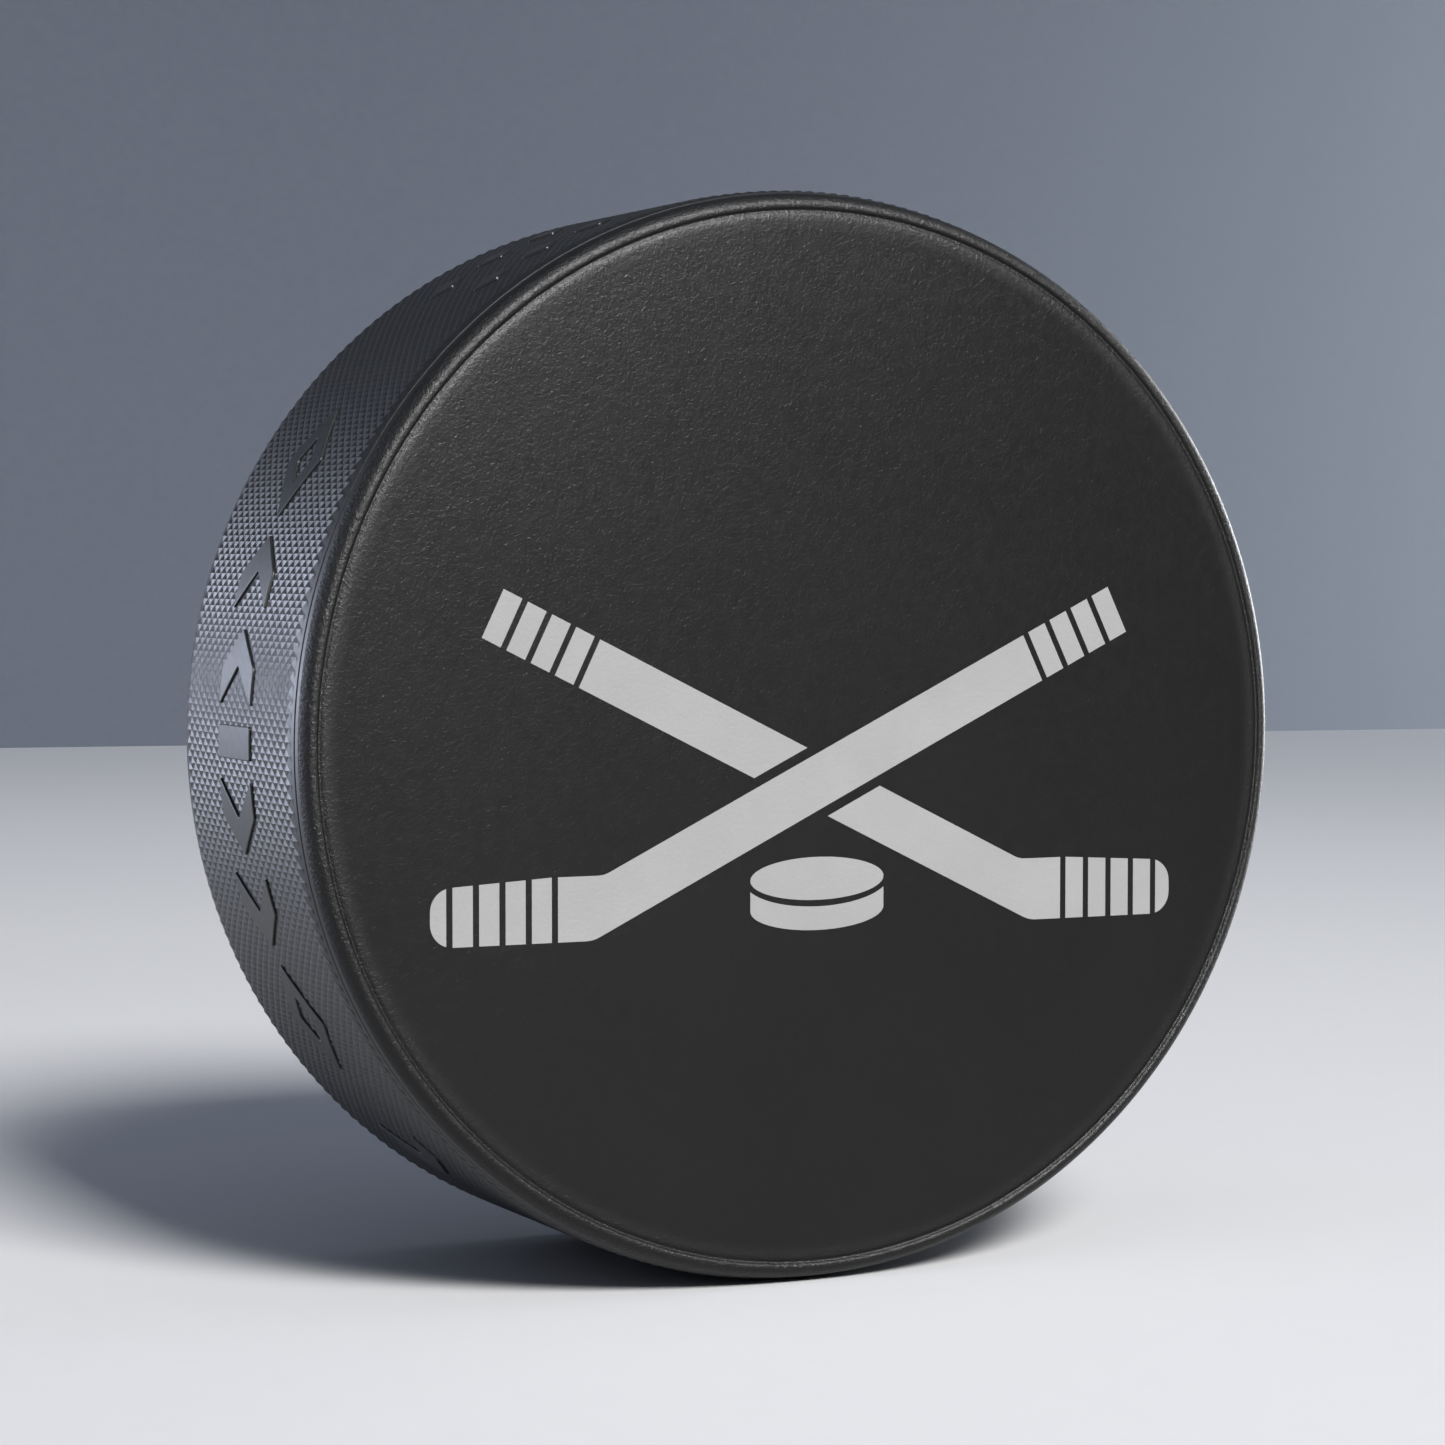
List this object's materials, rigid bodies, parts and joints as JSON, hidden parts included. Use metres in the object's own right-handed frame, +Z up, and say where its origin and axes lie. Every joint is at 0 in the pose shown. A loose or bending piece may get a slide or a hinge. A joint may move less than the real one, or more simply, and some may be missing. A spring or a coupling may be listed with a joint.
{
  "type": "ice hockey puck",
  "caption": "Vulcanised rubber ice hockey puck on its edge: knurled edge band with raised marks, a beaded groove around each flat face and a printed crossed-sticks emblem.",
  "frame": {"origin": "the point where the puck's edge touches the surface it stands on, halfway through its thickness", "axes": "+Z up; +Y along the puck's axis, out of the plain back face; the printed face looks along -Y; +X to the right when the printed face is looked at"},
  "size_m": [0.0762, 0.0254, 0.076],
  "materials": {
    "rubber": "satin black moulded rubber with a fine leather-like grain; knurled edge band",
    "ink": "light grey screen-printed ink, matt, the rubber's grain showing through"
  },
  "bodies": {
    "root": {"rubber_puck": "rubber", "print_front_stick_shaft": "ink", "print_rear_stick_shaft": "ink", "print_front_stick_grip": "ink", "print_rear_stick_grip": "ink", "print_front_stick_blade": "ink", "print_rear_stick_blade": "ink", "print_small_puck_top": "ink", "print_small_puck_side": "ink"}
  },
  "joints": []
}
